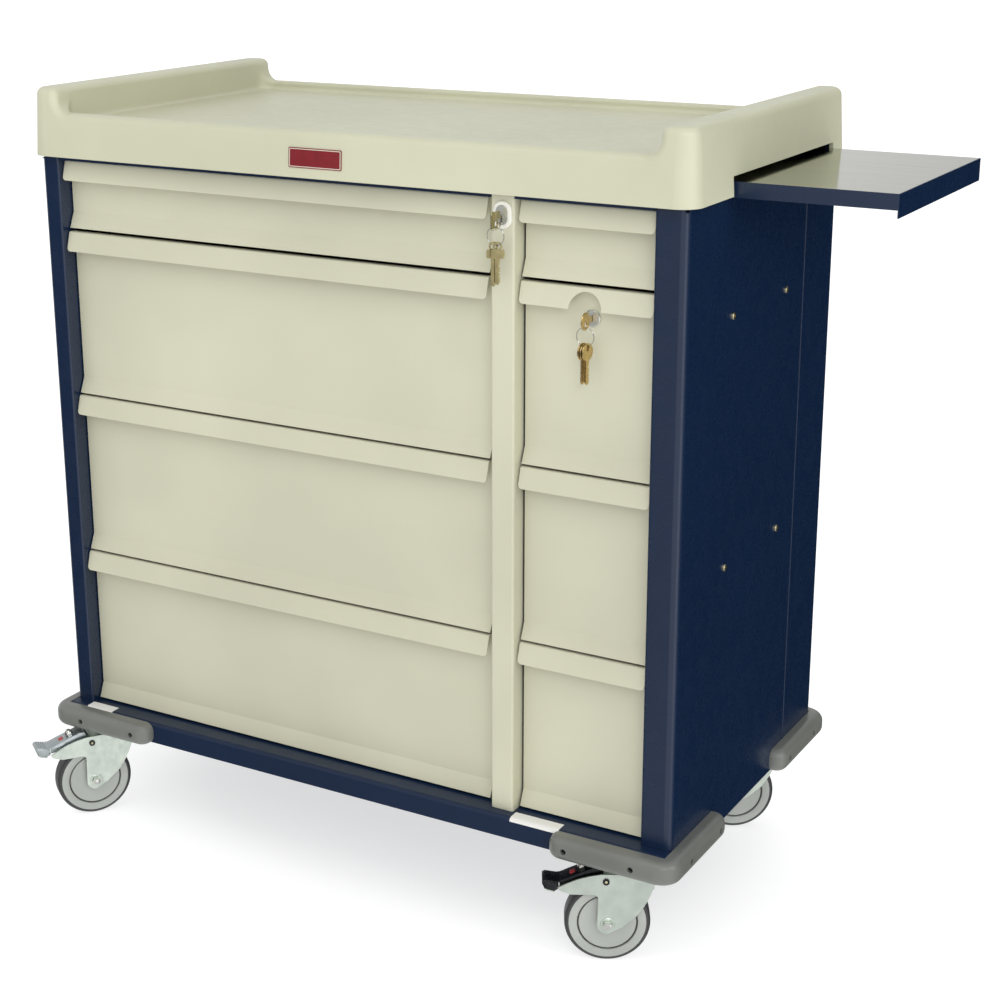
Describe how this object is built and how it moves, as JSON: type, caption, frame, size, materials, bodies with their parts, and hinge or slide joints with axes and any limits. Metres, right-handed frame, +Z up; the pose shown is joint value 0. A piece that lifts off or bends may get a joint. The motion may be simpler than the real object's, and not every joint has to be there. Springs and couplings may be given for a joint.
{
  "type": "medication cart",
  "caption": "Double-column drawer cart on swivel casters with raised-end worktop, pull-out side shelf, central lock and corner bumpers.",
  "frame": {"origin": "on the floor, under the centre of the cabinet", "axes": "+Z up, the drawer fronts face -Y, +X to the right as seen from the front"},
  "size_m": [1.3555, 0.6848, 1.21],
  "materials": {
    "navy_coat": "glossy navy powder coat",
    "putty_coat": "satin putty powder coat",
    "inner_steel": "satin zinc-plated sheet",
    "worktop_plastic": "moulded, fine satin texture",
    "stainless_sheet": "brushed along its length, bright",
    "bumper_rubber": "satin moulded vinyl",
    "zinc_plate": "bright zinc plating",
    "wheel_rubber": "grey hub with charcoal tread",
    "pedal_steel": "satin black",
    "key_brass": "worn polish",
    "lock_chrome": "polished",
    "lock_trim": "off-white, glossy",
    "badge_enamel": "dark red enamel with a pale border",
    "label_stock": "white, satin",
    "screw_brass": "yellow zinc plating"
  },
  "bodies": {
    "cart": {"left_side_panel": "navy_coat", "right_side_panel": "navy_coat", "back_panel": "navy_coat", "base_pan": "navy_coat", "top_deck": "navy_coat", "centre_post": "putty_coat", "centre_partition": "inner_steel", "slide_uprights": "inner_steel", "cabinet_runners": "inner_steel", "worktop": "worktop_plastic", "shelf_guides": "inner_steel", "corner_bumpers": "bumper_rubber", "bumper_screws": "zinc_plate", "side_screws": "screw_brass", "bolt_inserts": "zinc_plate", "badge_plate": "badge_enamel", "base_labels": "label_stock", "main_lock_housing": "lock_chrome", "main_lock_escutcheon": "lock_trim", "caster_plates": "zinc_plate"},
    "main_lock": {"main_lock_plug": "lock_chrome", "main_lock_cam": "zinc_plate", "main_key": "key_brass"},
    "main_keys": {"main_key_ring": "lock_chrome", "main_spare_keys": "key_brass"},
    "lock_bar": {"lock_bar": "inner_steel"},
    "shelf": {"shelf_top": "stainless_sheet", "shelf_frame": "navy_coat"},
    "left_drawer_1": {"left_drawer_1_front": "putty_coat", "left_drawer_1_box": "inner_steel"},
    "left_drawer_2": {"left_drawer_2_front": "putty_coat", "left_drawer_2_box": "inner_steel"},
    "left_drawer_3": {"left_drawer_3_front": "putty_coat", "left_drawer_3_box": "inner_steel"},
    "left_drawer_4": {"left_drawer_4_front": "putty_coat", "left_drawer_4_box": "inner_steel"},
    "right_drawer_1": {"right_drawer_1_front": "putty_coat", "right_drawer_1_box": "inner_steel"},
    "right_drawer_2": {"right_drawer_2_front": "putty_coat", "right_drawer_2_box": "inner_steel", "drawer_lock_housing": "lock_chrome"},
    "right_drawer_3": {"right_drawer_3_front": "putty_coat", "right_drawer_3_box": "inner_steel"},
    "right_drawer_4": {"right_drawer_4_front": "putty_coat", "right_drawer_4_box": "inner_steel"},
    "drawer_lock": {"drawer_lock_plug": "lock_chrome", "drawer_lock_cam": "zinc_plate", "drawer_key": "key_brass"},
    "drawer_keys": {"drawer_key_ring": "lock_chrome", "drawer_spare_keys": "key_brass"},
    "caster_front_right": {"caster_front_right_fork": "zinc_plate"},
    "wheel_front_right": {"caster_front_right_wheel": "wheel_rubber"},
    "pedal_front_right": {"brake_pedal_front_right": "pedal_steel"},
    "caster_front_left": {"caster_front_left_fork": "zinc_plate"},
    "wheel_front_left": {"caster_front_left_wheel": "wheel_rubber"},
    "pedal_front_left": {"brake_pedal_front_left": "pedal_steel"},
    "caster_rear_right": {"caster_rear_right_fork": "zinc_plate"},
    "wheel_rear_right": {"caster_rear_right_wheel": "wheel_rubber"},
    "caster_rear_left": {"caster_rear_left_fork": "zinc_plate"},
    "wheel_rear_left": {"caster_rear_left_wheel": "wheel_rubber"}
  },
  "joints": [
    {"name": "left_drawer_1_slide", "type": "slide", "parent": "cart", "child": "left_drawer_1", "axis": [0, -1, 0], "range_m": [0, 0.36]},
    {"name": "left_drawer_2_slide", "type": "slide", "parent": "cart", "child": "left_drawer_2", "axis": [0, -1, 0], "range_m": [0, 0.36]},
    {"name": "left_drawer_3_slide", "type": "slide", "parent": "cart", "child": "left_drawer_3", "axis": [0, -1, 0], "range_m": [0, 0.36]},
    {"name": "left_drawer_4_slide", "type": "slide", "parent": "cart", "child": "left_drawer_4", "axis": [0, -1, 0], "range_m": [0, 0.36]},
    {"name": "right_drawer_1_slide", "type": "slide", "parent": "cart", "child": "right_drawer_1", "axis": [0, -1, 0], "range_m": [0, 0.36]},
    {"name": "right_drawer_2_slide", "type": "slide", "parent": "cart", "child": "right_drawer_2", "axis": [0, -1, 0], "range_m": [0, 0.36]},
    {"name": "right_drawer_3_slide", "type": "slide", "parent": "cart", "child": "right_drawer_3", "axis": [0, -1, 0], "range_m": [0, 0.36]},
    {"name": "right_drawer_4_slide", "type": "slide", "parent": "cart", "child": "right_drawer_4", "axis": [0, -1, 0], "range_m": [0, 0.36]},
    {"name": "shelf_slide", "type": "slide", "parent": "cart", "child": "shelf", "axis": [1, 0, 0], "range_m": [-0.218, 0]},
    {"name": "main_lock_turn", "type": "hinge", "parent": "cart", "child": "main_lock", "pos_m": [0.2747, -0.279, 1.0725], "axis": [0, 1, 0], "range_deg": [0, 90]},
    {"name": "main_keys_hang", "type": "hinge", "parent": "main_lock", "child": "main_keys", "pos_m": [0.2747, -0.3, 1.0615], "axis": [0, 1, 0], "range_deg": [-90, 0]},
    {"name": "lock_bar_lift", "type": "slide", "parent": "cart", "child": "lock_bar", "axis": [0, 0, 1], "range_m": [0, 0.0101]},
    {"name": "drawer_lock_turn", "type": "hinge", "parent": "right_drawer_2", "child": "drawer_lock", "pos_m": [0.3985, -0.252, 0.9424], "axis": [0, 1, 0], "range_deg": [0, 90]},
    {"name": "drawer_keys_hang", "type": "hinge", "parent": "drawer_lock", "child": "drawer_keys", "pos_m": [0.3985, -0.2745, 0.9314], "axis": [0, 1, 0], "range_deg": [-90, 0]},
    {"name": "front_right_swivel", "type": "hinge", "parent": "cart", "child": "caster_front_right", "pos_m": [0.485, -0.263, 0.143], "axis": [0, 0, 1], "continuous": true},
    {"name": "front_right_wheel_spin", "type": "hinge", "parent": "caster_front_right", "child": "wheel_front_right", "pos_m": [0.45034, -0.28174, 0.0625], "axis": [0.4756, -0.8796, 0], "continuous": true},
    {"name": "front_right_brake_press", "type": "hinge", "parent": "caster_front_right", "child": "pedal_front_right", "pos_m": [0.44761, -0.28321, 0.132], "axis": [0.4756, -0.8796, 0], "range_deg": [-4, 8]},
    {"name": "front_left_swivel", "type": "hinge", "parent": "cart", "child": "caster_front_left", "pos_m": [-0.485, -0.263, 0.143], "axis": [0, 0, 1], "continuous": true},
    {"name": "front_left_wheel_spin", "type": "hinge", "parent": "caster_front_left", "child": "wheel_front_left", "pos_m": [-0.50794, -0.29504, 0.0625], "axis": [0.8131, -0.5821, 0], "continuous": true},
    {"name": "front_left_brake_press", "type": "hinge", "parent": "caster_front_left", "child": "pedal_front_left", "pos_m": [-0.50974, -0.29756, 0.132], "axis": [0.8131, -0.5821, 0], "range_deg": [0, 12]},
    {"name": "rear_right_swivel", "type": "hinge", "parent": "cart", "child": "caster_rear_right", "pos_m": [0.485, 0.216, 0.143], "axis": [0, 0, 1], "continuous": true},
    {"name": "rear_right_wheel_spin", "type": "hinge", "parent": "caster_rear_right", "child": "wheel_rear_right", "pos_m": [0.45196, 0.19454, 0.0625], "axis": [0.5446, -0.8387, 0], "continuous": true},
    {"name": "rear_left_swivel", "type": "hinge", "parent": "cart", "child": "caster_rear_left", "pos_m": [-0.485, 0.216, 0.143], "axis": [0, 0, 1], "continuous": true},
    {"name": "rear_left_wheel_spin", "type": "hinge", "parent": "caster_rear_left", "child": "wheel_rear_left", "pos_m": [-0.51474, 0.19015, 0.0625], "axis": [0.6561, -0.7547, 0], "continuous": true}
  ],
  "couplings": [
    {"joint": "main_keys_hang", "follows": "main_lock_turn", "ratio": -1},
    {"joint": "lock_bar_lift", "follows": "main_lock_turn", "m_per_rad": 0.0063662},
    {"joint": "drawer_keys_hang", "follows": "drawer_lock_turn", "ratio": -1}
  ]
}
